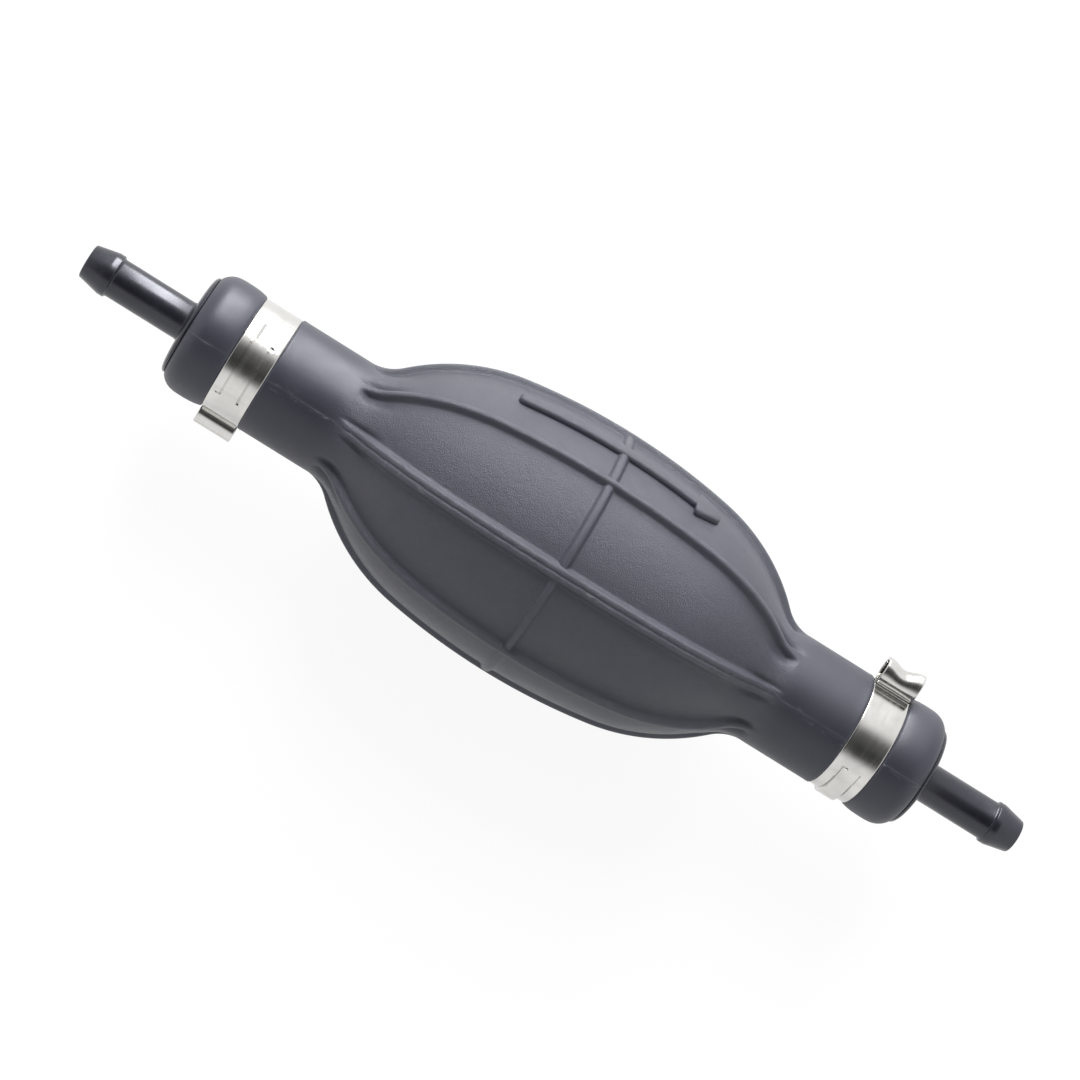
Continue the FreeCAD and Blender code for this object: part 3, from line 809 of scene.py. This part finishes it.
# Studio: a white floor under the pump that keeps its shadow, one broad soft light and a pale room.
# The lens looks down on the pump from where the photograph was taken.
def floor_finish():
    """White paper: plain for the light it throws back, and whiter to the lens and in mirrors."""
    material = bpy.data.materials.new("studio_floor")
    material.use_nodes = True
    nodes = material.node_tree.nodes
    links = material.node_tree.links
    path = nodes.new("ShaderNodeLightPath")
    plain = nodes["Principled BSDF"]
    plain.inputs["Base Color"].default_value = (0.62, 0.62, 0.63, 1)
    plain.inputs["Roughness"].default_value = 0.9
    shown = plain.outputs["BSDF"]
    for ray, colour, glow in (("Is Glossy Ray", 0.4, 0.6), ("Is Camera Ray", 0.13, 0.92)):
        paper = nodes.new("ShaderNodeBsdfDiffuse")
        paper.inputs["Color"].default_value = (colour, colour, colour, 1)
        white = nodes.new("ShaderNodeEmission")
        white.inputs["Strength"].default_value = glow
        together = nodes.new("ShaderNodeAddShader")
        links.new(paper.outputs["BSDF"], together.inputs[0])
        links.new(white.outputs["Emission"], together.inputs[1])
        choose = nodes.new("ShaderNodeMixShader")
        links.new(path.outputs[ray], choose.inputs["Fac"])
        links.new(shown, choose.inputs[1])
        links.new(together.outputs["Shader"], choose.inputs[2])
        shown = choose.outputs["Shader"]
    links.new(shown, nodes["Material Output"].inputs["Surface"])
    return material


def make_floor():
    bm = bmesh.new()
    bmesh.ops.create_grid(bm, x_segments=1, y_segments=1, size=3)
    bmesh.ops.translate(bm, vec=(0, 0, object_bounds()[0].z), verts=bm.verts[:])
    mesh = bpy.data.meshes.new("floor")
    bm.to_mesh(mesh)
    bm.free()
    mesh.materials.append(floor_finish())
    floor = bpy.data.objects.new("floor", mesh)
    bpy.context.scene.collection.objects.link(floor)


make_floor()

VIEW_TILT = math.radians(4.9)
VIEW_ELEVATION = math.radians(74.5)
IMAGE_TURN = math.radians(31.9)
VIEW_DISTANCE = 530 * mm
IMAGE_PIXELS = 1080
PIXEL = 0.1735 * mm
MIDDLE_PIXEL = (558.1, 553.0)
SENSOR_MM = 36

back = Vector((
    -math.sin(VIEW_TILT),
    -math.cos(VIEW_TILT) * math.cos(VIEW_ELEVATION),
    math.cos(VIEW_TILT) * math.sin(VIEW_ELEVATION),
))
along = (Vector((1, 0, 0)) - back * back.x).normalized()
across = back.cross(along)
right = along * math.cos(IMAGE_TURN) + across * math.sin(IMAGE_TURN)
up = across * math.cos(IMAGE_TURN) - along * math.sin(IMAGE_TURN)


def make_camera():
    half = IMAGE_PIXELS / 2
    aim = right * (half - MIDDLE_PIXEL[0]) * PIXEL + up * (MIDDLE_PIXEL[1] - half) * PIXEL
    lens = bpy.data.cameras.new("camera")
    lens.sensor_width = SENSOR_MM
    lens.lens = SENSOR_MM * VIEW_DISTANCE / (IMAGE_PIXELS * PIXEL)
    camera = bpy.data.objects.new("camera", lens)
    bpy.context.scene.collection.objects.link(camera)
    turn = Matrix((right, up, back)).transposed().to_4x4()
    camera.matrix_world = Matrix.Translation(aim + back * VIEW_DISTANCE) @ turn
    bpy.context.scene.camera = camera


make_camera()

# The soft light stands beside the bulb's upper side, low enough to streak the tubes.
LIGHT_ANGLE = math.radians(70)
LIGHT_DISTANCE = 0.9
LIGHT_SIZE = (0.33, 1.0)
LIGHT_POWER = 12
LIGHT_X = -0.15


def make_lamp():
    lamp = bpy.data.lights.new("soft_light", "AREA")
    lamp.shape = "RECTANGLE"
    lamp.size, lamp.size_y = LIGHT_SIZE
    lamp.energy = LIGHT_POWER
    lamp.color = (1, 0.995, 0.98)
    holder = bpy.data.objects.new("soft_light", lamp)
    bpy.context.scene.collection.objects.link(holder)
    away = back * math.cos(LIGHT_ANGLE) + across * math.sin(LIGHT_ANGLE)
    turn = Matrix((along, away.cross(along), away)).transposed().to_4x4()
    holder.matrix_world = Matrix.Translation(away * LIGHT_DISTANCE + along * LIGHT_X) @ turn


make_lamp()

# How bright the room is, by the angle from the lens over the pump's upper side.
# The dark stretch about the lens is the photographer's side of the room.
ROOM_SHADES = [(-70, 0.9), (-44, 0.82), (-38, 0.62), (-32, 0.25), (-25, 0.07), (-12, 0.045),
               (0, 0.08), (10, 0.11), (17, 0.17), (25, 0.42), (32, 0.75), (40, 0.95), (60, 0.98)]
ROOM_LIGHT = 0.42
# The room turns pale again towards the pump's ends, by the share of a ray that runs along the pump.
ROOM_ENDS = (0.42, 0.7)
ROOM_END_SHADE = 0.9


def make_room():
    world = bpy.data.worlds.new("room")
    bpy.context.scene.world = world
    world.use_nodes = True
    nodes = world.node_tree.nodes
    links = world.node_tree.links
    way = nodes.new("ShaderNodeTexCoord")
    parts = []
    for axis in (across, back, along):
        dot = nodes.new("ShaderNodeVectorMath")
        dot.operation = "DOT_PRODUCT"
        dot.inputs[1].default_value = axis
        links.new(way.outputs["Generated"], dot.inputs[0])
        parts.append(dot.outputs["Value"])
    angle = nodes.new("ShaderNodeMath")
    angle.operation = "ARCTAN2"
    links.new(parts[0], angle.inputs[0])
    links.new(parts[1], angle.inputs[1])
    place = nodes.new("ShaderNodeMapRange")
    place.inputs["From Min"].default_value = -math.pi / 2
    place.inputs["From Max"].default_value = math.pi / 2
    links.new(angle.outputs["Value"], place.inputs["Value"])
    shade = nodes.new("ShaderNodeValToRGB")
    stops = shade.color_ramp.elements
    while len(stops) < len(ROOM_SHADES):
        stops.new(0.5)
    for stop, (degrees, value) in zip(stops, ROOM_SHADES):
        stop.position = degrees / 180 + 0.5
        stop.color = (value, value, value, 1)
    links.new(place.outputs["Result"], shade.inputs["Fac"])
    sideways = nodes.new("ShaderNodeMath")
    sideways.operation = "ABSOLUTE"
    links.new(parts[2], sideways.inputs[0])
    ends = nodes.new("ShaderNodeMapRange")
    ends.interpolation_type = "SMOOTHSTEP"
    ends.inputs["From Min"].default_value, ends.inputs["From Max"].default_value = ROOM_ENDS
    links.new(sideways.outputs["Value"], ends.inputs["Value"])
    lighter = nodes.new("ShaderNodeMixRGB")
    lighter.inputs["Color2"].default_value = (ROOM_END_SHADE, ROOM_END_SHADE, ROOM_END_SHADE, 1)
    links.new(ends.outputs["Result"], lighter.inputs["Fac"])
    links.new(shade.outputs["Color"], lighter.inputs["Color1"])
    soft = nodes["Background"]
    soft.inputs["Strength"].default_value = ROOM_LIGHT
    mirror = nodes.new("ShaderNodeBackground")
    links.new(lighter.outputs["Color"], soft.inputs["Color"])
    links.new(lighter.outputs["Color"], mirror.inputs["Color"])
    white = nodes.new("ShaderNodeBackground")
    white.inputs["Color"].default_value = (1, 1, 1, 1)
    path = nodes.new("ShaderNodeLightPath")
    shown = soft.outputs["Background"]
    rays = (("Is Glossy Ray", mirror), ("Is Camera Ray", white), ("Is Transmission Ray", white))
    for ray, light in rays:
        choose = nodes.new("ShaderNodeMixShader")
        links.new(path.outputs[ray], choose.inputs["Fac"])
        links.new(shown, choose.inputs[1])
        links.new(light.outputs["Background"], choose.inputs[2])
        shown = choose.outputs["Shader"]
    links.new(shown, nodes["World Output"].inputs["Surface"])


make_room()
bpy.context.scene.view_settings.view_transform = "Standard"
